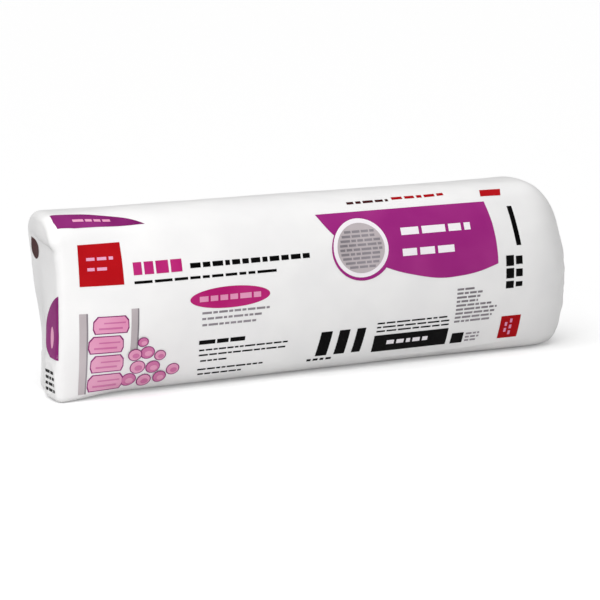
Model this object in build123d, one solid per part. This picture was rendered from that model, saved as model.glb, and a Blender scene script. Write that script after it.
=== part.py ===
"""A sealed film pack of faced insulation batts, lying on one long narrow side.

The batts are thin wool boards with a paper facing on one side. They stand on their long edges, one behind
the other, squeezed together by a tight film bag that is folded shut at both ends.
Millimetres. X runs along the pack, -Y is the printed front, Z is up, and the origin is on the ground under
the middle of the pack.
"""
import os

from build123d import *

# Driving dimensions of the goods and of the film
batt_length = 1194.0
batt_width = 371.0
batt_count = 8
packed_batt_thickness = 28.4
facing_thickness = 0.6
layer_gap = 0.4
batt_stagger = 3.0
film_thickness = 1.0
film_clearance = 0.6

# Shape of the tight bag, measured on the outside of the film
front_bulge = 55.0
top_bulge = 8.0
upper_edge_radius = 70.0
lower_edge_radius = 56.0
left_end_slack = 8.0
right_end_slack = 28.0
outline_margin = 3.0

# Rounding of the two ends: the left one is folded square, the right one is a full round pillow
left_side_draw = 20.0
left_draw_reach = 300.0
left_front_radius = 14.0
left_back_radius = 40.0
right_side_reach = 141.0
right_top_reach = 127.0
right_bottom_reach = 54.0
right_tip_height = 130.0

# The soft stack keeps back from the film along its long edges and at both ends
stack_upper_radius = 88.0
stack_lower_radius = 78.0
stack_side_draw = 50.0
stack_draw_reach = 390.0
stack_end_factor = 2.05
stack_tip_slack = 18.0

# Folded closures of the bag
lip_reach = 14.0
lip_height = 54.0
lip_corner_radius = 22.0
lip_end_radius = 26.0
flap_height = 88.0
flap_bottom = 12.0
flap_thickness = 7.0
flap_edge_radius = 3.0
flap_inset = 12.0
seal_height = 32.0
seal_thickness = 3.0
seal_width = 36.0
seal_root = 6.0

# Values worked out from the driving dimensions
batt_inset = film_thickness + film_clearance
stack_depth = batt_count * packed_batt_thickness
half_depth = stack_depth / 2 + batt_inset
pack_height = batt_width + 2 * batt_inset
edge_half_depth = half_depth - front_bulge
crown_height = pack_height - top_bulge
pack_length = batt_length + left_end_slack + right_end_slack
left_end = (lip_reach - seal_thickness - pack_length) / 2
right_end = left_end + pack_length
end_half_depth = half_depth - left_side_draw


def corner_near(outline, across, up):
    """The corner of a flat outline that lies nearest to a point of it."""
    return outline.vertices().sort_by_distance((across, up, 0))[0]


def cross_form(inset, upper_radius, lower_radius, start, length):
    """The bowed outline across the pack, set in by inset, run along the pack from start."""
    edge = edge_half_depth - inset
    middle = half_depth - inset
    low = inset
    crown = crown_height - inset
    high = pack_height - inset
    with BuildPart() as form:
        with BuildSketch(Plane.YZ.offset(start)) as outline:
            with BuildLine():
                Line((-edge, low), (edge, low))
                ThreePointArc((edge, low), (middle, pack_height / 2), (edge, crown))
                ThreePointArc((edge, crown), (0, high), (-edge, crown))
                ThreePointArc((-edge, crown), (-middle, pack_height / 2), (-edge, low))
            make_face()
            for side in (-edge, edge):
                fillet(corner_near(outline, side, low), lower_radius - inset)
                fillet(corner_near(outline, side, crown), upper_radius - inset)
        extrude(amount=length)
    return form.part


def side_form(inset, tip, end_factor):
    """The outline seen from the front, run through the depth: square at the left, an oval tip at the right.

    Its top stands clear of the pack's top by the outline margin, so that it only shapes the ends.
    """
    left = left_end + inset
    low = inset
    high = pack_height + outline_margin - inset
    lower_rise = right_tip_height - low
    upper_rise = high - right_tip_height
    top_reach = right_top_reach * end_factor
    bottom_reach = right_bottom_reach * end_factor
    top_centre = (tip - top_reach, right_tip_height)
    bottom_centre = (tip - bottom_reach, right_tip_height)
    with BuildPart() as form:
        with BuildSketch(Plane.XZ) as outline:
            with BuildLine():
                Line((top_centre[0], high), (left, high))
                Line((left, high), (left, low))
                Line((left, low), (bottom_centre[0], low))
                EllipticalCenterArc(bottom_centre, bottom_reach - inset, lower_rise, 270, arc_size=90)
                EllipticalCenterArc(top_centre, top_reach - inset, upper_rise, 0, arc_size=90)
            make_face()
            fillet(corner_near(outline, left, low), left_front_radius - inset)
            fillet(corner_near(outline, left, high), left_front_radius - inset)
        extrude(amount=half_depth + outline_margin, both=True)
    return form.part


def plan_form(inset, tip, end_factor, side_draw, draw_reach):
    """The outline seen from above, run through the height: drawn in at the left, an oval tip at the right.

    Its sides stand clear of the pack's sides by the outline margin, so that it only shapes the ends.
    """
    left = left_end + inset
    side = half_depth + outline_margin - inset
    left_side = half_depth - side_draw - inset
    left_shoulder = left_end + draw_reach
    side_reach = right_side_reach * end_factor
    right_shoulder = tip - side_reach
    with BuildPart() as form:
        with BuildSketch(Plane.XY.offset(-outline_margin)) as outline:
            with BuildLine():
                Line((left_shoulder, -side), (right_shoulder, -side))
                EllipticalCenterArc((right_shoulder, 0), side_reach - inset, side, 270, arc_size=180)
                Line((right_shoulder, side), (left_shoulder, side))
                TangentArc((left_shoulder, side), (left, left_side), tangent=(-1, 0))
                Line((left, left_side), (left, -left_side))
                TangentArc((left_shoulder, -side), (left, -left_side), tangent=(-1, 0))
            make_face()
            fillet(corner_near(outline, left, -left_side), left_front_radius - inset)
            fillet(corner_near(outline, left, left_side), left_back_radius - inset)
        extrude(amount=pack_height + 2 * outline_margin)
    return form.part


def pack_form(inset):
    """The whole pillow-shaped pack, set in from the outside of the film by inset."""
    body = cross_form(inset, upper_edge_radius, lower_edge_radius, left_end, pack_length)
    plan = plan_form(inset, right_end, 1, left_side_draw, left_draw_reach)
    return body & side_form(inset, right_end, 1) & plan


def stack_form():
    """The space that the soft stack fills: rounder than the film along the long edges and at both ends."""
    tip = right_end - stack_tip_slack
    body = cross_form(batt_inset, stack_upper_radius, stack_lower_radius, left_end, pack_length)
    plan = plan_form(batt_inset, tip, stack_end_factor, stack_side_draw, stack_draw_reach)
    return body & side_form(batt_inset, tip, stack_end_factor) & plan


def top_fold():
    """The top of the bag folded down over the left end, puffed out in a round lip along the end's edge."""
    root = left_end + left_back_radius
    nose = left_end - lip_reach
    lip_bottom = crown_height - lip_height
    with BuildPart() as fold:
        with BuildSketch(Plane.XZ) as outline:
            with BuildLine():
                Polyline(
                    (root, lip_bottom),
                    (root, pack_height),
                    (nose, pack_height),
                    (nose, lip_bottom + lip_height / 2),
                    (left_end, lip_bottom),
                    close=True,
                )
            make_face()
            fillet(corner_near(outline, nose, pack_height), lip_corner_radius)
        extrude(amount=half_depth, both=True)
    with BuildPart() as width:
        with BuildSketch() as plan:
            with Locations(((nose + root) / 2, 0)):
                Rectangle(root - nose, 2 * end_half_depth)
            for side in (-end_half_depth, end_half_depth):
                fillet(corner_near(plan, nose, side), lip_end_radius)
        extrude(amount=pack_height)
    length = root - nose
    return fold.part & width.part & cross_form(0, upper_edge_radius, lower_edge_radius, nose, length)


def bottom_flap():
    """The bottom of the bag folded up flat against the left end, over its whole width."""
    face = left_end - flap_thickness
    depth = flap_thickness + film_thickness / 2
    with BuildPart() as flap:
        with BuildSketch(Plane.XZ):
            with Locations((face + depth / 2, flap_bottom + flap_height / 2)):
                Rectangle(depth, flap_height)
        extrude(amount=end_half_depth - left_back_radius / 2, both=True)
        add(cross_form(flap_inset, upper_edge_radius, lower_edge_radius, face, depth), mode=Mode.INTERSECT)
        fillet(flap.faces().sort_by(Axis.X)[0].edges(), flap_edge_radius)
    return flap.part


def right_seal():
    """The heat seal across the tip of the right end, lying flat on it."""
    with BuildPart() as seal:
        with BuildSketch(Plane.YZ.offset(right_end - seal_root)):
            with Locations((0, right_tip_height)):
                Rectangle(seal_width, seal_height)
        extrude(amount=seal_thickness + seal_root)
        fillet(seal.faces().sort_by(Axis.X)[-1].edges(), seal_thickness / 3)
    return seal.part


def film_bag():
    """The printed film bag with its folded closures, hollow where the batts lie."""
    outside = pack_form(0) + top_fold() + bottom_flap() + right_seal()
    return outside - pack_form(film_thickness)


def layer_side(fraction, shift):
    """Edge and middle distance from the pack's centre plane, of a sheet at a fraction of the depth."""
    return fraction * (edge_half_depth - batt_inset) + shift, fraction * (half_depth - batt_inset) + shift


def bowed_line(edge, middle, start_height, end_height):
    """A line up or down the pack that bows out to the middle distance at half height, if it bows at all."""
    if middle == edge:
        return Line((edge, start_height), (edge, end_height))
    return ThreePointArc((edge, start_height), (middle, pack_height / 2), (edge, end_height))


def layer_form(first_side, second_side, start):
    """A bowed layer of a batt's length from start, between two sides given as edge and middle distance."""
    first_edge, first_middle = first_side
    second_edge, second_middle = second_side
    with BuildPart() as layer:
        with BuildSketch(Plane.YZ.offset(start)):
            with BuildLine():
                bowed_line(first_edge, first_middle, 0, pack_height)
                Line((first_edge, pack_height), (second_edge, pack_height))
                bowed_line(second_edge, second_middle, pack_height, 0)
                Line((second_edge, 0), (first_edge, 0))
            make_face()
        extrude(amount=batt_length)
    return layer.part


def batt_and_facing(index, envelope):
    """One batt and its paper facing. Neighbours lie facing to facing, so that wool meets the film."""
    front_fraction = 2 * index / batt_count - 1
    back_fraction = 2 * (index + 1) / batt_count - 1
    front = layer_side(front_fraction, layer_gap / 2)
    back = layer_side(back_fraction, -layer_gap / 2)
    start = left_end + left_end_slack + index * batt_stagger
    faced_at_back = index % 2 == 0
    if faced_at_back:
        sheet_front = layer_side(back_fraction, -layer_gap / 2 - facing_thickness)
        wool_back = layer_side(back_fraction, -1.5 * layer_gap - facing_thickness)
        wool = layer_form(front, wool_back, start)
        sheet = layer_form(sheet_front, back, start)
    else:
        sheet_back = layer_side(front_fraction, layer_gap / 2 + facing_thickness)
        wool_front = layer_side(front_fraction, 1.5 * layer_gap + facing_thickness)
        wool = layer_form(wool_front, back, start)
        sheet = layer_form(front, sheet_back, start)
    return wool & envelope, sheet & envelope


os.makedirs("parts", exist_ok=True)
export_step(film_bag(), "parts/film_bag.step")
stack_envelope = stack_form()
for batt_index in range(batt_count):
    batt, facing = batt_and_facing(batt_index, stack_envelope)
    export_step(batt, f"parts/batt_{batt_index + 1:02d}.step")
    export_step(facing, f"parts/paper_facing_{batt_index + 1:02d}.step")
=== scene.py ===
"""Dresses a film pack of insulation batts: the white printed film with its folds and wrinkles, the wool and
the paper facing inside it, a plain floor with soft light, and the camera.

Metres, in the part's own frame: X runs along the pack, -Y is the printed front, and Z is up.
"""
import math

import bpy
import numpy as np
from mathutils import Matrix, Vector
from mathutils.bvhtree import BVHTree
from mathutils.geometry import delaunay_2d_cdt


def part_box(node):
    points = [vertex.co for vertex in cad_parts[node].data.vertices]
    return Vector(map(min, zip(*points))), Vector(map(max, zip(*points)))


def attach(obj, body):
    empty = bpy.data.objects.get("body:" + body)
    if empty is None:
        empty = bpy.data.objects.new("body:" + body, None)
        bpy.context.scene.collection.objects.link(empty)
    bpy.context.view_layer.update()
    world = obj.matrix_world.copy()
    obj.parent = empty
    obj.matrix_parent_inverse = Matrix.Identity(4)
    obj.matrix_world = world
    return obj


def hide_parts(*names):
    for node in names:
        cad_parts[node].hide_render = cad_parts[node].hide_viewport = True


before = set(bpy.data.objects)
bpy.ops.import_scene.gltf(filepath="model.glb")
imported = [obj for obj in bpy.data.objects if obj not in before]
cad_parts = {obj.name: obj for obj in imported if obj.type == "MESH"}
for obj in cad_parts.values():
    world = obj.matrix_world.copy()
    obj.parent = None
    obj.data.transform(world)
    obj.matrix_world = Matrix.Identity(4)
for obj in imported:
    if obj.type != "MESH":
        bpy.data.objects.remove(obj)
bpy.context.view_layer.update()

MM = 0.001

# The body of the pack, placed in the film's own box
film_low, film_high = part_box("film_bag")
LIP_REACH = 14 * MM
SEAL_THICKNESS = 3 * MM
LEFT_END = film_low.x + LIP_REACH
RIGHT_END = film_high.x - SEAL_THICKNESS
HALF_DEPTH = film_high.y
HEIGHT = film_high.z
TOP_BULGE = 8 * MM
CROWN = HEIGHT - TOP_BULGE

# Sizes that change along the pack: at its left end, in its middle and at its right end
EDGE_HALF_DEPTH = (78.5 * MM, 58 * MM, 64 * MM)
UPPER_RADIUS = (55 * MM, 85 * MM, 45 * MM)
LOWER_RADIUS = (12 * MM, 75 * MM, 55 * MM)

# Where the middle starts and ends, as shares of the length
MIDDLE_STARTS = 0.14
MIDDLE_ENDS = 0.6

# Drawing in of the left end, and the lean of its back corner
LEFT_SIDE_REACH = 210 * MM
LEFT_SIDE_DRAW = 33 * MM
LEFT_EDGE_DRAW = 3 * MM
LEFT_CORNER_RADIUS = 14 * MM
BACK_LEAN = 26 * MM
BACK_LEAN_START = -25 * MM
BACK_LEAN_WIDTH = 90 * MM
BACK_LEAN_HEIGHT = 75 * MM
BACK_LEAN_SPREAD = 150 * MM
BACK_LEAN_REACH = 160 * MM

# The rings of the left end close in on an upright line between these heights
SPINE_LOW = 120 * MM
SPINE_HIGH = 250 * MM

# Rounding of the right end
RIGHT_CENTRE = 130 * MM
RIGHT_SIDE_REACH = 141 * MM
RIGHT_TOP_REACH = 128 * MM
RIGHT_BOTTOM_REACH = 100 * MM
RIGHT_SIDE_ROUNDNESS = 2.08
RIGHT_TOP_ROUNDNESS = 1.96
RIGHT_BOTTOM_ROUNDNESS = 3.3

# Closures of the left end: the puffed lip, the flap under it, and the shallow dish between them
LIP_HEIGHT = 54 * MM
LIP_SLOPE = 0.14
LIP_ROLL = 0.45
LIP_PUFF = 10 * MM
LIP_BACK_SHARE = 0.25
LIP_FADE_START = -30 * MM
LIP_FADE_WIDTH = 90 * MM
FLAP_TOP = 80 * MM
FLAP_THICKNESS = 2.5 * MM
FLAP_HALF_WIDTH = 88 * MM
FLAP_EDGE = 7 * MM
DISH_DEPTH = 3 * MM
DISH_FADE = 60 * MM

# Oval edge of the tucked-in ear, across and up the left end
EAR_CENTRE = (-42 * MM, 47 * MM)
EAR_REACH = (27 * MM, 33 * MM)
EAR_FOLD_WIDTH = 2.6 * MM
EAR_FOLD_RISE = 1.6 * MM
EAR_DEPTH = 20 * MM
EAR_FADE = 8 * MM

# Slack of the film: broad swells and small puckers, both longer along the pack than across it
FILM_SLACK = 0.5 * MM
SWELL_RISE = 1.0 * MM
SWELL_LENGTH = 150 * MM
PUCKER_RISE = 0.3 * MM
PUCKER_LENGTH = 38 * MM
SLACK_SQUEEZE = (0.5, 1, 1)
GROUND_FADE = 14 * MM

# A random swell is the mean of some sine waves whose lengths vary by these shares, over its usual peak
WAVE_COUNT = 14
WAVE_LENGTHS = (0.7, 1.5)
WAVE_PEAK = 1.6

# A long fold low on the front
FOLD_START = 100 * MM
FOLD_END = 450 * MM
FOLD_FADE = 60 * MM
FOLD_HEIGHT = 23 * MM
FOLD_CLIMB = 0.012
FOLD_WANDER = 2.5 * MM
FOLD_WANDER_LENGTH = 55 * MM
FOLD_WIDTH = 4.5 * MM
FOLD_RISE = 2.0 * MM

# Gathers around the sealed tip of the right end
GATHER_REACH = 150 * MM
GATHER_RISE = 2.2 * MM
GATHER_WAVELENGTH = 0.34
GATHER_TWIST = 0.6
GATHER_TIP_FADE = 6 * MM
GATHER_BODY_FADE = 120 * MM

# The heat seal and its crimps
SEAL_WIDTH = 36 * MM
SEAL_HEIGHT = 32 * MM
SEAL_ROOT = 6 * MM
SEAL_RIM = 0.12
SEAL_STEPS = 40
CRIMP_RISE = 0.35 * MM
CRIMP_LENGTH = 2.6 * MM

# How finely the film is meshed
BOTTOM_STEPS = 8
LOWER_STEPS = 26
SIDE_STEPS = 46
UPPER_STEPS = 18
CROWN_STEPS = 12
FACE_RINGS = 60
CORNER_RINGS = 9
BODY_STEP = 4.6 * MM
TAPER_RINGS = 56
TAPER_CROWDING = 2.2
SHORTEST_NORMAL = 1e-12


def smooth(share):
    """Goes softly from 0 to 1 while share goes from 0 to 1."""
    share = np.clip(share, 0.0, 1.0)
    return share * share * (3 - 2 * share)


def rolled(share):
    """Goes from 0 to 1 like a rolled edge, steeply first, while share goes from 0 to 1."""
    return np.sqrt(1 - (1 - np.clip(share, 0, 1)) ** 2)


def ridge(distance):
    """Falls softly away on both sides from 1 where distance is 0."""
    return np.exp(-(distance**2))


def along(x, sizes):
    """A size that changes softly along the pack, from its left end through its middle to its right end."""
    left, middle, right = sizes
    place = (x - LEFT_END) / (RIGHT_END - LEFT_END)
    to_middle = smooth(place / MIDDLE_STARTS)
    to_right = smooth((place - MIDDLE_ENDS) / (1 - MIDDLE_ENDS))
    return left + (middle - left) * to_middle + (right - middle) * to_right


def left_draw(x):
    """Share of the full draw at x, where the folded left end pulls the sides in."""
    return np.clip(1 - (x - LEFT_END) / LEFT_SIDE_REACH, 0, 1) ** 2


class Section:
    """The outline across the pack at x: a flat bottom, a bowed side, a crowned top and two rounded edges.

    Each stretch is an arc, and the angle of its outward normal runs from straight down to straight up.
    """

    def __init__(self, x):
        depth = HALF_DEPTH - LEFT_SIDE_DRAW * left_draw(x)
        edge = along(x, EDGE_HALF_DEPTH) - LEFT_EDGE_DRAW * left_draw(x)
        bulge = depth - edge
        self.lower = along(x, LOWER_RADIUS)
        self.upper = along(x, UPPER_RADIUS)
        self.side = (bulge**2 + (CROWN / 2) ** 2) / (2 * bulge)
        self.side_y = depth - self.side
        self.side_z = CROWN / 2
        self.crown = (edge**2 + TOP_BULGE**2) / (2 * TOP_BULGE)
        self.crown_z = HEIGHT - self.crown
        self.lower_z = self.lower
        drop = self.lower_z - self.side_z
        self.lower_y = self.side_y + np.sqrt((self.side - self.lower) ** 2 - drop**2)
        self.upper_y, self.upper_z = self._upper_centre()
        self.side_start = np.arctan2(drop, self.lower_y - self.side_y)
        self.side_end = np.arctan2(self.upper_z - self.side_z, self.upper_y - self.side_y)
        self.crown_start = np.arctan2(self.upper_z - self.crown_z, self.upper_y)

    def _upper_centre(self):
        """Where a circle inside both the side and the crown has its centre."""
        reach_side = self.side - self.upper
        reach_crown = self.crown - self.upper
        across = 0 - self.side_y
        up = self.crown_z - self.side_z
        apart = np.hypot(across, up)
        foot = (reach_side**2 - reach_crown**2 + apart**2) / (2 * apart)
        rise = np.sqrt(reach_side**2 - foot**2)
        y = self.side_y + (across * foot - up * rise) / apart
        z = self.side_z + (up * foot + across * rise) / apart
        return y, z

    def arcs(self):
        """The rounded stretches from the bottom up: centre, radius, first and last angle, and steps."""
        down = -math.pi / 2
        up = math.pi / 2
        return (
            (self.lower_y, self.lower_z, self.lower, down, self.side_start, LOWER_STEPS),
            (self.side_y, self.side_z, self.side, self.side_start, self.side_end, SIDE_STEPS),
            (self.upper_y, self.upper_z, self.upper, self.side_end, self.crown_start, UPPER_STEPS),
            (0, self.crown_z, self.crown, self.crown_start, up, CROWN_STEPS),
        )


def half_outline(x):
    """Points of half the outline at each x, from under the centre up the side to the top, as y and z."""
    section = Section(x[:, None])
    bottom = np.linspace(0, 1, BOTTOM_STEPS + 1)[None, :-1]
    ys = [section.lower_y * bottom]
    zs = [np.zeros_like(ys[0])]
    for centre_y, centre_z, radius, start, end, steps in section.arcs():
        share = np.linspace(0, 1, steps + 1)[None, :-1]
        angle = start + (end - start) * share
        ys.append(centre_y + radius * np.cos(angle))
        zs.append(centre_z + radius * np.sin(angle))
    ys.append(np.zeros((len(x), 1)))
    zs.append(np.full((len(x), 1), HEIGHT))
    return np.concatenate(ys, axis=1), np.concatenate(zs, axis=1)


def full_outline(x):
    """Points of the whole outline at each x, up the front, over the top and down the back."""
    y, z = half_outline(x)
    back = slice(-2, 0, -1)
    return np.concatenate([-y, y[:, back]], axis=1), np.concatenate([z, z[:, back]], axis=1)


def end_factor(distance, reach, roundness):
    """Share of the full size that is left at a distance from the right end, where rounding starts at reach."""
    left_over = np.clip(1 - distance / reach, 0, 1)
    return (1 - left_over**roundness) ** (1 / roundness)


def taper(x, y, z):
    """Draws the outline in towards the middle of the right end."""
    distance = np.clip(RIGHT_END - x, 0, None)
    upper = end_factor(distance, RIGHT_TOP_REACH, RIGHT_TOP_ROUNDNESS)
    lower = end_factor(distance, RIGHT_BOTTOM_REACH, RIGHT_BOTTOM_ROUNDNESS)
    factor = np.where(z > RIGHT_CENTRE, upper, lower)
    across = y * end_factor(distance, RIGHT_SIDE_REACH, RIGHT_SIDE_ROUNDNESS)
    return across, RIGHT_CENTRE + (z - RIGHT_CENTRE) * factor


def back_lean(x, y, z):
    """How far the back corner of the left end leans in along the pack, most at one height."""
    across = smooth((y - BACK_LEAN_START) / BACK_LEAN_WIDTH)
    up = ridge((z - BACK_LEAN_HEIGHT) / BACK_LEAN_SPREAD)
    return BACK_LEAN * across * up * (1 - smooth((x - LEFT_END) / BACK_LEAN_REACH))


def left_face_reach(y, z):
    """How far the folded film stands out from the left end's plane."""
    lip_edge = HEIGHT - LIP_HEIGHT + LIP_SLOPE * y
    puff = LIP_PUFF * (1 - (1 - LIP_BACK_SHARE) * smooth((y - LIP_FADE_START) / LIP_FADE_WIDTH))
    lip = puff * rolled((z - lip_edge) / (LIP_ROLL * LIP_HEIGHT))
    flap = FLAP_THICKNESS * rolled(np.minimum(FLAP_TOP - z, FLAP_HALF_WIDTH - np.abs(y)) / FLAP_EDGE)
    dish = DISH_DEPTH * smooth((lip_edge - z) / DISH_FADE) * smooth((z - FLAP_TOP) / DISH_FADE)
    return lip + flap - dish


def film_rings():
    """The undisplaced film as closed rings of points, from the middle of the left end to that of the right.

    The rings grow over the flat left end, go round its corner, run along the body, and crowd towards the tip
    of the right end.
    """
    turn = np.linspace(math.pi / 2, 0, CORNER_RINGS)
    radius = LEFT_CORNER_RADIUS
    body_start = LEFT_END + radius
    taper_start = RIGHT_END - RIGHT_SIDE_REACH
    body_count = round((taper_start - body_start) / BODY_STEP)
    left_x = np.concatenate([np.full(FACE_RINGS, LEFT_END), body_start - radius * np.sin(turn)])
    body_x = np.linspace(body_start, taper_start, body_count + 1)[1:]
    remaining = (1 - np.linspace(0, 1, TAPER_RINGS + 1)[1:]) ** TAPER_CROWDING
    taper_x = RIGHT_END - RIGHT_SIDE_REACH * remaining
    x = np.concatenate([left_x, body_x, taper_x])
    y, z = full_outline(np.maximum(x, LEFT_END))
    y, z = taper(x[:, None], y, z)

    left_count = len(left_x)
    spine_z = np.clip(z[:left_count], SPINE_LOW, SPINE_HIGH)
    away = np.hypot(y[:left_count], z[:left_count] - spine_z)
    face_share = np.linspace(1, 0, FACE_RINGS, endpoint=False)[:, None]
    face_inset = radius + (away[:FACE_RINGS] - radius) * face_share
    corner_inset = radius * (1 - np.cos(turn))[:, None] + 0 * away[FACE_RINGS:]
    kept = 1 - np.concatenate([face_inset, corner_inset]) / away
    y[:left_count] *= kept
    z[:left_count] = spine_z + (z[:left_count] - spine_z) * kept

    outward = np.concatenate([np.ones(FACE_RINGS), np.sin(turn)])[:, None]
    grid_x = np.repeat(x[:, None], y.shape[1], axis=1)
    lean = back_lean(grid_x, y, z)
    grid_x[:left_count] -= outward * left_face_reach(y[:left_count], z[:left_count])
    return np.stack([grid_x + lean, y, z], axis=2)


def ring_normals(points):
    """Outward normals of a grid of rings, each ring closed."""
    along_rings = np.gradient(points, axis=0)
    around = np.roll(points, -1, axis=1) - np.roll(points, 1, axis=1)
    normals = np.cross(along_rings, around)
    size = np.linalg.norm(normals, axis=2, keepdims=True)
    normals = normals / np.maximum(size, SHORTEST_NORMAL)
    normals[0] = (-1, 0, 0)
    normals[-1] = (1, 0, 0)
    return normals


def waves(points, wavelength, seed):
    """Soft random swells, from about -1 to 1."""
    rng = np.random.default_rng(seed)
    directions = rng.normal(size=(WAVE_COUNT, 3))
    directions /= np.linalg.norm(directions, axis=1, keepdims=True)
    lengths = wavelength * rng.uniform(*WAVE_LENGTHS, size=(WAVE_COUNT, 1))
    phases = rng.uniform(0, 2 * math.pi, size=WAVE_COUNT)
    swell = np.sin(points @ (directions * 2 * math.pi / lengths).T + phases)
    return swell.mean(axis=-1) * math.sqrt(WAVE_COUNT) / WAVE_PEAK


def relief(points):
    """How far the film stands out from its plain form, at undisplaced points of it."""
    squeezed = points * np.array(SLACK_SQUEEZE)
    height = FILM_SLACK + SWELL_RISE * (1 + waves(squeezed, SWELL_LENGTH, seed=3))
    height += PUCKER_RISE * (1 + waves(squeezed, PUCKER_LENGTH, seed=5))
    height += bottom_fold(points) + end_gathers(points) + end_ear(points)
    return np.maximum(height, 0) * smooth(points[..., 2] / GROUND_FADE)


def bottom_fold(points):
    """A long slack fold of the film low on the front, towards the right end."""
    x, y, z = points[..., 0], points[..., 1], points[..., 2]
    line = FOLD_HEIGHT + FOLD_WANDER * np.sin(x / FOLD_WANDER_LENGTH) + FOLD_CLIMB * (x - FOLD_START)
    reach = smooth((x - FOLD_START) / FOLD_FADE) * smooth((FOLD_END - x) / FOLD_FADE)
    return FOLD_RISE * reach * ridge((z - line) / FOLD_WIDTH) * (y < 0)


def end_ear(points):
    """The oval edge of the tucked-in ear, low on the front side of the left end."""
    x, y, z = points[..., 0], points[..., 1], points[..., 2]
    out = np.hypot((y - EAR_CENTRE[0]) / EAR_REACH[0], (z - EAR_CENTRE[1]) / EAR_REACH[1])
    from_edge = (out - 1) * EAR_REACH[0] / EAR_FOLD_WIDTH
    return EAR_FOLD_RISE * smooth((LEFT_END + EAR_DEPTH - x) / EAR_FADE) * ridge(from_edge)


def end_gathers(points):
    """Shallow folds that run from the sealed tip of the right end back along the pack."""
    distance = RIGHT_END - points[..., 0]
    turn = np.arctan2(points[..., 2] - RIGHT_CENTRE, points[..., 1])
    around = np.stack([np.cos(turn), np.sin(turn), GATHER_TWIST * distance / GATHER_REACH], axis=-1)
    folds = waves(around, GATHER_WAVELENGTH, seed=11)
    reach = smooth(distance / GATHER_TIP_FADE) * smooth((GATHER_REACH - distance) / GATHER_BODY_FADE)
    return GATHER_RISE * reach * np.maximum(folds, 0)


def film_surface():
    """The film's points, displaced by its relief, as a grid of rings."""
    points = film_rings()
    return points + ring_normals(points) * relief(points)[..., None]


def ring_faces(rings, around):
    """Faces over a grid of rings. The first and last ring are a point each, listed after the rest."""
    faces = []
    for ring in range(rings - 3):
        here = ring * around
        there = here + around
        for spot in range(around):
            following = (spot + 1) % around
            faces.append((here + spot, there + spot, there + following, here + following))
    left_pole = (rings - 2) * around
    right_pole = left_pole + 1
    last = left_pole - around
    for spot in range(around):
        following = (spot + 1) % around
        faces.append((left_pole, spot, following))
        faces.append((right_pole, last + following, last + spot))
    return faces


def make_mesh(name, vertices, faces):
    """A new mesh object in the scene."""
    mesh = bpy.data.meshes.new(name)
    mesh.from_pydata(vertices, [], faces)
    piece = bpy.data.objects.new(name, mesh)
    bpy.context.scene.collection.objects.link(piece)
    return piece


def make_film():
    """The film bag's own piece, in place of its plain solid."""
    points = film_surface()
    rings, around, _ = points.shape
    poles = [points[0].mean(axis=0), points[-1].mean(axis=0)]
    vertices = np.vstack([points[1:-1].reshape(-1, 3), *poles])
    film = make_mesh("printed_film_bag", vertices.tolist(), ring_faces(rings, around))
    film.data.shade_smooth()
    film.data.materials.append(film_material("white_film", FILM_WHITE, FILM_SHADE))
    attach(film, "root")
    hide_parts("film_bag")
    return film


def make_seal():
    """The heat seal at the tip of the right end: a flat crimped tab that lies on the film."""
    share = np.linspace(-1, 1, SEAL_STEPS + 1)
    across, up = np.meshgrid(share, share)
    rim = 1 - np.maximum(np.abs(across), np.abs(up))
    crimp = CRIMP_RISE * np.sin(up * SEAL_HEIGHT / 2 / CRIMP_LENGTH * 2 * math.pi)
    rise = (SEAL_THICKNESS + crimp) * np.sqrt(smooth(rim / SEAL_RIM))
    y = across * SEAL_WIDTH / 2
    z = RIGHT_CENTRE + up * SEAL_HEIGHT / 2
    front = np.stack([RIGHT_END + rise, y, z], axis=2).reshape(-1, 3)
    back = np.stack([RIGHT_END - SEAL_ROOT + 0 * rise, y, z], axis=2).reshape(-1, 3)
    count = SEAL_STEPS + 1
    faces = []
    for row in range(SEAL_STEPS):
        for column in range(SEAL_STEPS):
            corner = row * count + column
            square = (corner, corner + 1, corner + count + 1, corner + count)
            faces.append(square)
            faces.append(tuple(len(front) + spot for spot in reversed(square)))
    rim_spots = list(range(count)) + list(range(2 * count - 1, count * count, count))
    rim_spots += list(range(count * count - 2, count * (count - 1) - 1, -1))
    rim_spots += list(range(count * (count - 2), 0, -count))
    for spot, following in zip(rim_spots, rim_spots[1:] + rim_spots[:1]):
        faces.append((spot, len(front) + spot, len(front) + following, following))
    seal = make_mesh("end_seal", np.concatenate([front, back]).tolist(), faces)
    seal.data.shade_smooth()
    seal.data.materials.append(film_material("sealed_film", FILM_SHADE, FILM_WHITE))
    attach(seal, "root")


# Places of a colour Mix node's sockets, among those for other kinds of value
MIX_SHARE = 0
MIX_FIRST = 6
MIX_SECOND = 7
MIX_RESULT = 2


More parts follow.
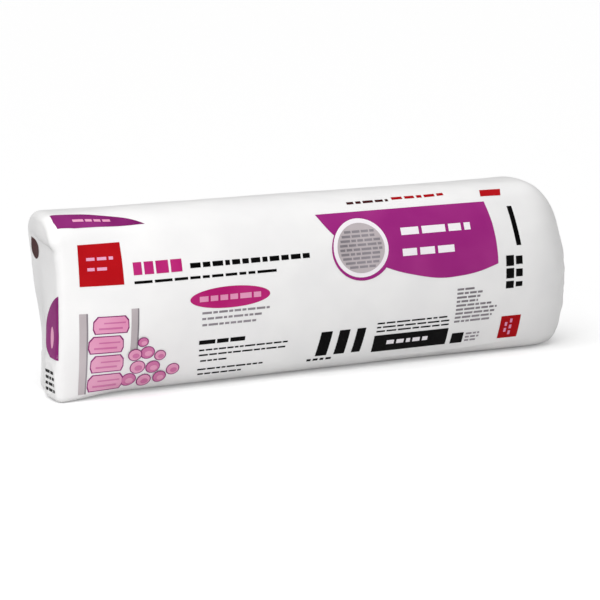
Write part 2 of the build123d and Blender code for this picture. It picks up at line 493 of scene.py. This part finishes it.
class Nodes:
    """Short calls that add and join the nodes of one material."""

    def __init__(self, name):
        self.material = bpy.data.materials.new(name)
        self.material.use_nodes = True
        self.tree = self.material.node_tree
        self.shader = self.tree.nodes["Principled BSDF"]

    def add(self, kind, inputs=(), **settings):
        """A new node with its settings, and with its inputs put by name."""
        node = self.tree.nodes.new(kind)
        for key, value in settings.items():
            setattr(node, key, value)
        for key, value in dict(inputs).items():
            self.put(node.inputs[key], value)
        return node

    def put(self, socket, value):
        """Links another node's output to a socket, or gives the socket a value of its own."""
        if isinstance(value, bpy.types.NodeSocket):
            self.tree.links.new(value, socket)
        else:
            socket.default_value = value

    def set(self, key, value):
        """Puts a value in the shader's own socket."""
        self.put(self.shader.inputs[key], value)

    def place(self, scale=(1, 1, 1)):
        """Object coordinates, scaled: a scale below 1 stretches the pattern."""
        coordinates = self.add("ShaderNodeTexCoord").outputs["Object"]
        return self.add("ShaderNodeMapping", {"Vector": coordinates, "Scale": scale}).outputs["Vector"]

    def noise(self, vector, scale, detail=3.0, roughness=0.5, distortion=0.0):
        """Soft noise, from 0 to 1."""
        inputs = {
            "Vector": vector,
            "Scale": scale,
            "Detail": detail,
            "Roughness": roughness,
            "Distortion": distortion,
        }
        return self.add("ShaderNodeTexNoise", inputs).outputs["Fac"]

    def ramp(self, value, between, to):
        """Maps a value between two numbers to one between two others, and clips it there."""
        inputs = {
            "Value": value,
            "From Min": between[0],
            "From Max": between[1],
            "To Min": to[0],
            "To Max": to[1],
        }
        return self.add("ShaderNodeMapRange", inputs).outputs["Result"]

    def mix(self, share, first, second):
        """A colour between two others."""
        node = self.add("ShaderNodeMix", data_type="RGBA")
        self.put(node.inputs[MIX_SHARE], share)
        self.put(node.inputs[MIX_FIRST], first)
        self.put(node.inputs[MIX_SECOND], second)
        return node.outputs[MIX_RESULT]

    def bump(self, height, strength, distance, normal=None):
        """A bumped normal, on top of another one if that is given."""
        inputs = {"Height": height, "Strength": strength, "Distance": distance}
        if normal is not None:
            inputs["Normal"] = normal
        return self.add("ShaderNodeBump", inputs).outputs["Normal"]


# Colours of the goods, and their smoothest and roughest places
FILM_WHITE = (0.875, 0.87, 0.865, 1)
FILM_SHADE = (0.835, 0.83, 0.83, 1)
FILM_ROUGHNESS = (0.30, 0.42)
FILM_GLOSS = 0.5
WOOL_PINK = (0.85, 0.36, 0.52, 1)
WOOL_PALE = (0.93, 0.62, 0.72, 1)
WOOL_ROUGHNESS = (0.85, 1.0)
WOOL_SHEEN = 0.3
PAPER_BROWN = (0.40, 0.23, 0.11, 1)
PAPER_PALE = (0.52, 0.33, 0.18, 1)
PAPER_ROUGHNESS = (0.62, 0.8)


def film_material(name, colour, shade, gloss=FILM_GLOSS):
    """Polyethylene film: softly glossy, with fine stretch marks along the pack and small puckers."""
    nodes = Nodes(name)
    clouds = nodes.noise(nodes.place(), scale=9.0, detail=2.0)
    nodes.set("Base Color", nodes.mix(nodes.ramp(clouds, (0.35, 0.65), (0, 1)), colour, shade))
    streaks = nodes.noise(nodes.place((0.25, 1, 1)), scale=160.0)
    nodes.set("Roughness", nodes.ramp(streaks, (0.3, 0.7), FILM_ROUGHNESS))
    pucker = nodes.noise(nodes.place((0.6, 1, 1)), scale=42.0, distortion=0.6)
    fine = nodes.bump(streaks, strength=0.10, distance=0.4 * MM)
    nodes.set("Normal", nodes.bump(pucker, strength=0.22, distance=1.5 * MM, normal=fine))
    nodes.set("Specular IOR Level", gloss)
    return nodes.material


def wool_material():
    """Glass wool: pink, matted fibres lying mostly along the batt, with paler tufts."""
    nodes = Nodes("pink_wool")
    fibres = nodes.noise(nodes.place((0.3, 1, 1.6)), scale=420.0, detail=6.0, roughness=0.7, distortion=1.5)
    tufts = nodes.noise(nodes.place(), scale=28.0, detail=4.0)
    tufted = nodes.mix(nodes.ramp(tufts, (0.35, 0.7), (0, 0.6)), WOOL_PINK, WOOL_PALE)
    nodes.set("Base Color", nodes.mix(nodes.ramp(fibres, (0.45, 0.75), (0, 0.7)), tufted, WOOL_PALE))
    nodes.set("Roughness", nodes.ramp(fibres, (0.3, 0.7), WOOL_ROUGHNESS))
    nodes.set("Sheen Weight", WOOL_SHEEN)
    nodes.set("Normal", nodes.bump(fibres, strength=0.8, distance=1.2 * MM))
    return nodes.material


def paper_material():
    """Kraft paper facing: brown, faintly laid, with flecks of fibre."""
    nodes = Nodes("kraft_paper")
    flecks = nodes.noise(nodes.place((0.4, 1, 1)), scale=260.0, detail=5.0, roughness=0.65)
    clouds = nodes.noise(nodes.place(), scale=12.0)
    clouded = nodes.mix(nodes.ramp(clouds, (0.3, 0.7), (0, 1)), PAPER_BROWN, PAPER_PALE)
    nodes.set("Base Color", nodes.mix(nodes.ramp(flecks, (0.55, 0.8), (0, 0.5)), clouded, PAPER_PALE))
    nodes.set("Roughness", nodes.ramp(flecks, (0.3, 0.7), PAPER_ROUGHNESS))
    nodes.set("Normal", nodes.bump(flecks, strength=0.25, distance=0.3 * MM))
    return nodes.material


def tone(red, green, blue):
    """A colour from its usual 0 to 255 values."""
    values = np.array([red, green, blue]) / 255
    linear = np.where(values <= 0.04045, values / 12.92, ((values + 0.055) / 1.055) ** 2.4)
    return (*linear.tolist(), 1)


# Inks: the main tone and the tone of its thinner places
INKS = {
    "purple": (tone(152, 38, 122), tone(162, 50, 130)),
    "plum": (tone(112, 18, 88), tone(142, 46, 118)),
    "magenta": (tone(174, 26, 106), tone(188, 50, 122)),
    "red": (tone(164, 4, 14), tone(178, 18, 26)),
    "maroon": (tone(50, 14, 16), tone(70, 26, 28)),
    "black": (tone(2, 2, 2), tone(12, 11, 12)),
    "grey": (tone(124, 119, 124), tone(152, 146, 152)),
    "stone": (tone(178, 169, 172), tone(194, 185, 188)),
    "pink": (tone(219, 140, 178), tone(228, 164, 194)),
    "rose": (tone(196, 102, 152), tone(208, 126, 170)),
    "white": (tone(243, 239, 242), tone(236, 231, 236)),
}
INK_GLOSS = 0.05
INK_LIFT = 0.4 * MM
INK_LAYER = 0.22 * MM

# Shapes of ink are meshed with points this far apart, in millimetres, and clear of their edge by this share
INK_STEP = 5.0
EDGE_CLEARANCE = 0.55
INSIDE_ONLY = 1
SAME_POINT = 1e-6

# A ray finds the film behind a flat place (across, up), in millimetres: its start, 1 m out, and direction
FACES = {
    "front": (lambda across, up: (across * MM, -1, up * MM), Vector((0, 1, 0))),
    "back": (lambda across, up: (-across * MM, 1, up * MM), Vector((0, -1, 0))),
    "top": (lambda across, up: (across * MM, up * MM, 1), Vector((0, 0, -1))),
    "left": (lambda across, up: (-1, -across * MM, up * MM), Vector((1, 0, 0))),
}

# Kinds of dashes: ink, layer, height, shortest and longest dash, and the gap between two
DASHES = {
    "badge": ("grey", 4, 5, (10, 24), 3),
    "banner": ("white", 1, 15, (26, 60), 8),
    "panel": ("pink", 1, 6, (12, 20), 5),
    "title": ("magenta", 0, 25, (17, 30), 5),
    "headline": ("black", 0, 10, (9, 24), 5),
    "underline": ("black", 0, 5.5, (14, 44), 5),
    "pill": ("pink", 1, 11, (12, 26), 5),
    "note": ("grey", 0, 4.5, (7, 22), 3),
    "heading": ("black", 0, 9, (18, 40), 4),
    "list": ("black", 0, 3.4, (7, 24), 3),
    "short_line": ("black", 0, 5, (8, 16), 5),
    "long_line": ("black", 0, 3.4, (10, 34), 4),
    "box": ("white", 1, 9, (9, 22), 6),
    "column": ("grey", 0, 4.5, (8, 26), 3),
    "mark": ("grey", 0, 4, (8, 16), 3),
    "wedge": ("pink", 1, 5, (14, 26), 4),
    "dark_line": ("maroon", 0, 5, (9, 26), 5),
    "red_line": ("red", 0, 6, (9, 26), 6),
    "end": ("black", 0, 6, (8, 22), 4),
}


def refined(outline, step):
    """The closed outline with points no further apart than step."""
    points = []
    for start, end in zip(outline, outline[1:] + outline[:1]):
        count = max(1, math.ceil(math.dist(start, end) / step))
        points += [np.add(start, np.subtract(end, start) * share / count) for share in range(count)]
    return np.array(points)


def inside(spots, edge):
    """Which spots lie inside a closed edge, by how often a level line from each crosses it."""
    following = np.roll(edge, -1, axis=0)
    spans = (edge[None, :, 1] > spots[:, None, 1]) != (following[None, :, 1] > spots[:, None, 1])
    rise = following[:, 1] - edge[:, 1]
    slope = (following[:, 0] - edge[:, 0]) / np.where(rise == 0, 1, rise)
    crossing = edge[None, :, 0] + (spots[:, None, 1] - edge[None, :, 1]) * slope
    return (spans & (spots[:, None, 0] < crossing)).sum(axis=1) % 2 == 1


def filled(outline, step):
    """Triangles that fill the outline, as flat points and faces."""
    edge = refined(outline, step)
    low, high = edge.min(axis=0), edge.max(axis=0)
    across, up = np.meshgrid(np.arange(low[0], high[0], step), np.arange(low[1], high[1], step))
    spots = np.stack([across.ravel(), up.ravel()], axis=1)
    clear = np.linalg.norm(spots[:, None] - edge[None], axis=2).min(axis=1) > EDGE_CLEARANCE * step
    flat = np.concatenate([edge, spots[inside(spots, edge) & clear]])
    flat = [Vector(point) for point in flat.tolist()]
    ring = list(range(len(edge)))
    points, _, faces = delaunay_2d_cdt(flat, [], [ring], INSIDE_ONLY, SAME_POINT)[:3]
    turned = []
    for face in faces:
        first, second, third = (points[corner] for corner in face)
        area = (second - first).cross(third - first)
        turned.append(list(face) if area > 0 else list(face)[::-1])
    return points, turned


def curve_through(points, steps=6):
    """Points of a smooth line through the given points, from the first to the last."""
    line = np.array([points[0], *points, points[-1]], dtype=float)
    share = np.linspace(0, 1, steps, endpoint=False)[:, None]
    stretches = []
    for before, start, end, after in zip(line, line[1:], line[2:], line[3:]):
        turn = 2 * before - 5 * start + 4 * end - after
        twist = 3 * (start - end) + after - before
        stretches.append(start + 0.5 * share * (end - before + share * (turn + share * twist)))
    return [tuple(point) for point in np.concatenate(stretches)] + [tuple(points[-1])]


def shrunk(point, middle, margin):
    """The point moved towards the middle, by a margin in each direction."""
    return tuple(value - math.copysign(margin, value - centre) for value, centre in zip(point, middle))


class Press:
    """Lays flat shapes of ink on the film, each ink in a thin piece of its own.

    Places and sizes are in millimetres, across and up a face. A higher layer lies over a lower one.
    """

    def __init__(self, film):
        corners = [vertex.co for vertex in film.data.vertices]
        self.tree = BVHTree.FromPolygons(corners, [polygon.vertices for polygon in film.data.polygons])
        self.inks = {}

    def shape(self, ink, face, outline, layer=0):
        """A filled outline."""
        points, faces = filled([tuple(point) for point in outline], INK_STEP)
        vertices, triangles = self.inks.setdefault(ink, ([], []))
        start, direction = FACES[face]
        first = len(vertices)
        for across, up in points:
            place, normal, _, _ = self.tree.ray_cast(Vector(start(across, up)), direction)
            if normal.dot(direction) > 0:
                normal = -normal
            vertices.append(place + normal * (INK_LIFT + layer * INK_LAYER))
        triangles += [[first + corner for corner in triangle] for triangle in faces]

    def bar(self, ink, face, left, right, middle, height, layer=0, slant=0.0):
        """An upright rectangle, or one whose top is shifted by slant."""
        low, high = middle - height / 2, middle + height / 2
        corners = [(left, low), (right, low), (right + slant, high), (left + slant, high)]
        self.shape(ink, face, corners, layer)

    def oval(self, ink, face, centre, reach, layer=0, start=0.0, count=48):
        """An oval of count corners, the first of them turned by start."""
        turns = np.linspace(0, 2 * math.pi, count, endpoint=False) + start
        outline = [(centre[0] + reach[0] * math.cos(t), centre[1] + reach[1] * math.sin(t)) for t in turns]
        self.shape(ink, face, outline, layer)

    def dashes(self, kind, face, rows, seed):
        """Rows of plain dashes. Each row is given by its left end, its right end and its middle height."""
        ink, layer, height, sizes, gap = DASHES[kind]
        for number, (left, right, middle) in enumerate(rows):
            rng = np.random.default_rng(seed + number)
            while left < right - sizes[0] / 2:
                end = min(left + rng.uniform(*sizes), right)
                self.bar(ink, face, left, end, middle, height, layer)
                left = end + gap

    def finish(self):
        """Makes one piece of each ink."""
        for ink, (vertices, triangles) in self.inks.items():
            piece = make_mesh(f"print_{ink}", vertices, triangles)
            piece.data.shade_smooth()
            piece.data.materials.append(film_material(f"{ink}_ink", *INKS[ink], INK_GLOSS))
            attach(piece, "root")


# The banner's round edges, and its badge with nine rows on it
BANNER_RIGHT = ((394, 209), (393, 250), (388, 296), (378, 340))
BANNER_LOWER = (
    (-33, 339), (-1, 298), (60, 248), (122, 220), (173, 204), (242, 190), (297, 190), (347, 196), (394, 209)
)
BADGE_CENTRE = (60, 266)
BADGE_ROWS = range(228, 308, 9)
BADGE_ROWS_REACH = (50, 48)

# A plain picture of goods: posts by left, right, middle and height, slabs by bottom, left and right, and
# tufts by across, up and reach. Each slab and tuft has an outline of this width.
POSTS = ((-570, -553, 98, 166), (-466, -450, 138, 96))
POST_SHADE = 3
SLABS = ((18, -548, -478), (58, -544, -481), (98, -549, -484), (138, -540, -474))
TUFTS = (
    (-462, 36, 17), (-428, 32, 16), (-395, 37, 15), (-446, 62, 17), (-413, 60, 16),
    (-455, 90, 15), (-428, 92, 16), (-400, 84, 13), (-440, 116, 12), (-367, 50, 15),
)
TUFT_SQUASH = 0.85
TUFT_CORE = (0.5, 0.35)
TUFT_TURN = 0.3
OUTLINE = 2

# The grey column of dashes near the right end: where each row ends, from the lowest up
COLUMN_LEFT = 291
COLUMN_RIGHT = (380, 385, 390, 395, 380, 345, 350, 355, 340)
COLUMN_LOW = 88
COLUMN_PITCH = 9

# Round edges of the print on the top and on the left end
WEDGE_EDGE = ((-415, -70), (-456, -55), (-521, -44), (-563, -41), (-605, -38))
LENS_EDGE = ((77, 217), (56, 206), (35, 187), (16, 158), (10, 130), (18, 106), (38, 89))
MARK_EDGE = ((-52, 320), (-60, 292), (-43, 276), (-22, 284), (-15, 304), (-30, 316), (-52, 320))


def print_banner(press, face):
    """The banner of plain colour, with a round badge and two rows of dashes on it."""
    press.shape("purple", face, curve_through(BANNER_LOWER)[:-1] + curve_through(BANNER_RIGHT))
    press.oval("purple", face, (62, 263), (71, 64), 1)
    press.oval("white", face, BADGE_CENTRE, (65, 60), 2)
    press.oval("stone", face, BADGE_CENTRE, (56, 51), 3)
    across, up = BADGE_CENTRE
    rows = []
    for height in BADGE_ROWS:
        reach = BADGE_ROWS_REACH[0] * math.sqrt(1 - ((height - up) / BADGE_ROWS_REACH[1]) ** 2)
        rows.append((across - reach, across + reach, height))
    press.dashes("badge", face, rows, 40)
    press.dashes("banner", face, ((160, 332, 293), (158, 286, 250)), 1)


def print_left(press, face):
    """The plain panel, the pill and the dashes on the left half."""
    press.bar("red", face, -567, -478, 276, 82)
    press.dashes("panel", face, ((-551, -496, 288), (-550, -508, 268)), 7)
    press.dashes("title", face, ((-457, -342, 264),), 3)
    press.dashes("headline", face, ((-334, -54, 261),), 4)
    press.dashes("underline", face, ((-457, -138, 237),), 5)
    press.oval("magenta", face, (-249, 192), (90, 22))
    press.dashes("pill", face, ((-318, -180, 192),), 6)
    press.dashes("note", face, ((-312, -160, 163), (-312, -178, 151), (-311, -187, 138)), 10)
    press.dashes("heading", face, ((-315, -200, 101),), 14)
    press.dashes("list", face, ((-313, -110, 84), (-312, -115, 73), (-307, -244, 60)), 20)
    press.dashes("list", face, ((-310, -161, 41), (-307, -208, 30)), 23)


def print_picture(press, face):
    """A plain picture of goods: slabs stacked in a frame, and a pile of tufts beside it."""
    for left, right, middle, height in POSTS:
        press.bar("stone", face, left, right, middle, height)
        press.bar("grey", face, right - POST_SHADE, right, middle, height, 1)
    for low, left, right in SLABS:
        slab = [
            (left, low), (right, low), (right + 4, low + 10), (right + 3, low + 27),
            (right - 4, low + 36), (left + 6, low + 36), (left - 3, low + 26), (left - 4, low + 10),
        ]
        middle = ((left + right) / 2, low + 18)
        press.shape("plum", face, slab)
        press.shape("pink", face, [shrunk(point, middle, OUTLINE) for point in slab], 1)
        press.bar("rose", face, left + 8, right - 10, low + 11, 4, 2)
        press.bar("rose", face, left + 18, right - 4, low + 22, 3, 2)
    for number, (across, up, reach) in enumerate(TUFTS):
        layer = 4 * (number % 3)
        body, core = ("pink", "rose") if number % 2 else ("rose", "pink")
        filling = reach - OUTLINE
        core_reach = (TUFT_CORE[0] * reach, TUFT_CORE[1] * reach)
        press.oval("plum", face, (across, up), (reach, TUFT_SQUASH * reach), layer, TUFT_TURN, 20)
        press.oval(body, face, (across, up), (filling, TUFT_SQUASH * filling), layer + 1, TUFT_TURN, 20)
        press.oval(core, face, (across + 2, up - 2), core_reach, layer + 2, TUFT_TURN, 16)


def print_right(press, face):
    """The plain bars, boxes and dashes on the right half."""
    for left, right in ((-39, -12), (5, 30), (47, 68)):
        press.bar("black", face, left, right, 69, 54, slant=6)
    press.dashes("short_line", face, ((-56, 4, 34),), 30)
    press.dashes("long_line", face, ((100, 278, 84), (100, 278, 93), (100, 278, 102)), 33)
    press.bar("black", face, 97, 280, 56, 38)
    press.dashes("box", face, ((130, 240, 57),), 37)
    rows = [(COLUMN_LEFT, right, COLUMN_LOW + COLUMN_PITCH * row) for row, right in enumerate(COLUMN_RIGHT)]
    press.dashes("column", face, rows, 60)
    press.bar("black", face, 292, 322, 49, 24)
    press.dashes("mark", face, ((328, 362, 41), (328, 362, 49), (328, 362, 57)), 70)

    press.shape("black", face, [(443, 244), (455, 244), (444, 327), (432, 327)])
    for middle, height in ((160, 16), (185, 22), (212.5, 23)):
        press.bar("black", face, 414, 434, middle, height)
        press.bar("black", face, 439, 456, middle, height - 5)
    press.bar("red", face, 412, 462, 63, 52)
    for left, middle in ((424, 56), (424, 70), (436, 49), (436, 63), (436, 77)):
        press.bar("pink", face, left, left + 6, middle, 9, 1)


def print_side(press, face):
    """The print of a long side. Across is from the middle of the pack, and up is from the ground."""
    print_banner(press, face)
    print_left(press, face)
    print_picture(press, face)
    print_right(press, face)


def print_ends(press):
    """The print on the top, where up is towards the back, and on the folded left end."""
    wedge = curve_through(WEDGE_EDGE) + [(-606, -59), (-602, -71), (-566, -73), (-510, -71)]
    press.shape("plum", "top", wedge)
    press.dashes("wedge", "top", ((-566, -486, -60),), 80)
    press.dashes("dark_line", "top", ((50, 150, -61),), 81)
    press.dashes("red_line", "top", ((160, 290, -58),), 82)
    press.shape("red", "top", [(374, -72), (424, -74), (430, -62), (378, -60)])
    press.shape("plum", "left", [(77, 88)] + curve_through(LENS_EDGE))
    press.oval("pink", "left", (48, 130), (8, 22), 1, count=24)
    press.shape("maroon", "left", curve_through(MARK_EDGE)[:-1])
    press.dashes("end", "left", ((20, 68, 24), (20, 68, 36), (20, 68, 48), (20, 68, 60)), 90)


def dress_inside():
    """Gives the batts and their facings their own materials."""
    wool = wool_material()
    paper = paper_material()
    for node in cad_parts:
        piece = bpy.data.objects[node]
        if node.startswith("batt_"):
            dress(piece, wool)
        elif node.startswith("paper_facing_"):
            dress(piece, paper)


def dress(piece, material):
    """Puts one material in all of a piece's slots."""
    if not piece.material_slots:
        piece.data.materials.append(material)
    for material_slot in piece.material_slots:
        material_slot.material = material


# Camera: it looks at a point near the middle of the pack
CAMERA_YAW = math.radians(27.77)
CAMERA_PITCH = math.radians(10.3)
CAMERA_ROLL = math.radians(-0.2)
CAMERA_DISTANCE = 4.755
CAMERA_AIM = Vector((-28.4 * MM, 0, 147.2 * MM))
CAMERA_FAR = 100
LENS = 134.66
SENSOR_WIDTH = 36


def make_camera():
    """The photograph's camera."""
    level = math.cos(CAMERA_PITCH)
    forward = Vector((math.sin(CAMERA_YAW) * level, math.cos(CAMERA_YAW) * level, -math.sin(CAMERA_PITCH)))
    right = Vector((math.cos(CAMERA_YAW), -math.sin(CAMERA_YAW), 0))
    up = right.cross(forward)
    rolled_right = right * math.cos(CAMERA_ROLL) + up * math.sin(CAMERA_ROLL)
    rolled_up = rolled_right.cross(forward)
    turned = Matrix((rolled_right, rolled_up, -forward)).transposed()
    data = bpy.data.cameras.new("camera")
    data.lens = LENS
    data.sensor_width = SENSOR_WIDTH
    data.clip_end = CAMERA_FAR
    camera = bpy.data.objects.new("camera", data)
    camera.matrix_world = Matrix.Translation(CAMERA_AIM - forward * CAMERA_DISTANCE) @ turned.to_4x4()
    bpy.context.scene.collection.objects.link(camera)
    bpy.context.scene.camera = camera


# Floor and light
WHITE = (1, 1, 1, 1)
FLOOR_HALF_SIZE = 40.0
FLOOR_COLOUR = (0.76, 0.76, 0.76, 1)
FLOOR_ROUGHNESS = 0.9
FLOOR_GLOSS = 0.1
FLOOR_WHITENING = 0.3
WORLD_LIGHT = 0.32
KEY_STRENGTH = 2.1
KEY_PLACE = Vector((0, 0, 3))
KEY_DIRECTION = Vector((0.35, 0.30, -1.0))
KEY_ANGLE = math.radians(60)
SOFTBOX_POWER = 9.5
SOFTBOX_SIZE = 0.9
SOFTBOX_PLACE = Vector((-1.2, -1.5, 0.9))
SOFTBOX_AIM = Vector((-0.1, 0, 0.19))


def make_floor():
    """A plain pale floor that keeps the pack's shadow and is white where the light is full."""
    size = FLOOR_HALF_SIZE
    corners = [(-size, -size, 0), (size, -size, 0), (size, size, 0), (-size, size, 0)]
    floor = make_mesh("floor", corners, [(0, 1, 2, 3)])
    nodes = Nodes("pale_floor")
    nodes.set("Base Color", FLOOR_COLOUR)
    nodes.set("Roughness", FLOOR_ROUGHNESS)
    nodes.set("Specular IOR Level", FLOOR_GLOSS)
    seen = nodes.add("ShaderNodeLightPath").outputs["Is Camera Ray"]
    nodes.set("Emission Color", WHITE)
    nodes.set("Emission Strength", nodes.ramp(seen, (0, 1), (0, FLOOR_WHITENING)))
    floor.data.materials.append(nodes.material)


def make_lamp(name, kind, power, place, direction):
    """A soft white lamp at a place, shining in a direction."""
    data = bpy.data.lights.new(name, kind)
    data.energy = power
    lamp = bpy.data.objects.new(name, data)
    lamp.location = place
    lamp.rotation_mode = "QUATERNION"
    lamp.rotation_quaternion = direction.to_track_quat("-Z", "Y")
    bpy.context.scene.collection.objects.link(lamp)
    return data


def make_lamps():
    """A broad lamp overhead, and a softbox near the left end, whose light falls off along the pack."""
    overhead = make_lamp("key_lamp", "SUN", KEY_STRENGTH, KEY_PLACE, KEY_DIRECTION)
    overhead.angle = KEY_ANGLE
    softbox = make_lamp("softbox", "AREA", SOFTBOX_POWER, SOFTBOX_PLACE, SOFTBOX_AIM - SOFTBOX_PLACE)
    softbox.shape = "SQUARE"
    softbox.size = SOFTBOX_SIZE


def make_world():
    """Even light from all around, and white where the camera sees it, also through something clear."""
    world = bpy.data.worlds.new("studio")
    world.use_nodes = True
    bpy.context.scene.world = world
    tree = world.node_tree
    background = tree.nodes["Background"]
    path = tree.nodes.new("ShaderNodeLightPath")
    seen = tree.nodes.new("ShaderNodeMath")
    seen.operation = "MAXIMUM"
    tree.links.new(path.outputs["Is Camera Ray"], seen.inputs[0])
    tree.links.new(path.outputs["Is Transmission Ray"], seen.inputs[1])
    strength = tree.nodes.new("ShaderNodeMapRange")
    strength.inputs["To Min"].default_value = WORLD_LIGHT
    strength.inputs["To Max"].default_value = 1.0
    tree.links.new(seen.outputs[0], strength.inputs["Value"])
    tree.links.new(strength.outputs["Result"], background.inputs["Strength"])
    background.inputs["Color"].default_value = WHITE


bpy.context.scene.view_settings.view_transform = "Standard"
make_camera()
make_world()
make_floor()
make_lamps()
ink_press = Press(make_film())
make_seal()
print_side(ink_press, "front")
print_side(ink_press, "back")
print_ends(ink_press)
ink_press.finish()
dress_inside()
